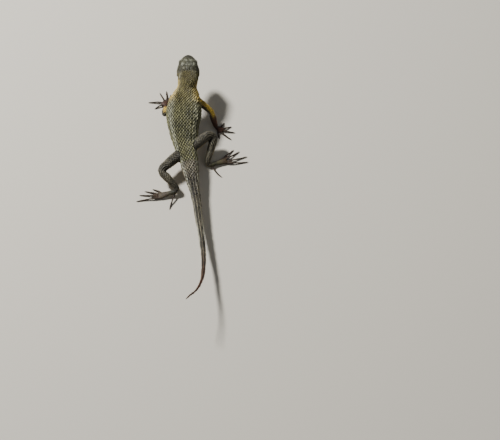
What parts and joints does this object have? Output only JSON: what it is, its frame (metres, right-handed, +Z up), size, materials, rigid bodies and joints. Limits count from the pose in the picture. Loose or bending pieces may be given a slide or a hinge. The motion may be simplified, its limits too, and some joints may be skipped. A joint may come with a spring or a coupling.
{
  "type": "western fence lizard model",
  "caption": "Life-size still model of a western fence lizard in a walking stance, with keeled scales, a raised curling tail and spread clawed toes.",
  "frame": {"origin": "on the floor under the middle of the animal's outline", "axes": "+Y towards the head, +X to the animal's right, +Z up"},
  "size_m": [0.074, 0.186, 0.0308],
  "materials": {
    "back_scales": "dry matt keeled scales, grey olive with dark blotches",
    "head_scales": "dry smooth head plates, grey brown",
    "limb_scales": "dry keeled scales, yellow brown",
    "foot_scales": "fine dry scales, reddish brown",
    "eye": "wet and glossy",
    "eardrum": "thin smooth skin",
    "claw": "dark horn with a dull shine"
  },
  "bodies": {
    "root": {"head": "head_scales", "jaw": "head_scales", "neck": "back_scales", "torso": "back_scales", "tail_1": "back_scales", "tail_2": "back_scales", "tail_3": "back_scales", "tail_4": "back_scales", "tail_5": "back_scales", "eye_left": "eye", "ear_left": "eardrum", "upper_arm_left": "limb_scales", "forearm_left": "limb_scales", "thigh_left": "limb_scales", "shank_left": "limb_scales", "hand_left": "foot_scales", "foot_left": "foot_scales", "finger_left_1": "foot_scales", "toe_left_1": "foot_scales", "finger_left_2": "foot_scales", "toe_left_2": "foot_scales", "finger_left_3": "foot_scales", "toe_left_3": "foot_scales", "finger_left_4": "foot_scales", "toe_left_4": "foot_scales", "finger_left_5": "foot_scales", "toe_left_5": "foot_scales", "eye_right": "eye", "ear_right": "eardrum", "upper_arm_right": "limb_scales", "forearm_right": "limb_scales", "thigh_right": "limb_scales", "shank_right": "limb_scales", "hand_right": "foot_scales", "foot_right": "foot_scales", "finger_right_1": "foot_scales", "toe_right_1": "foot_scales", "finger_right_2": "foot_scales", "toe_right_2": "foot_scales", "finger_right_3": "foot_scales", "toe_right_3": "foot_scales", "finger_right_4": "foot_scales", "toe_right_4": "foot_scales", "finger_right_5": "foot_scales", "toe_right_5": "foot_scales"}
  },
  "joints": []
}
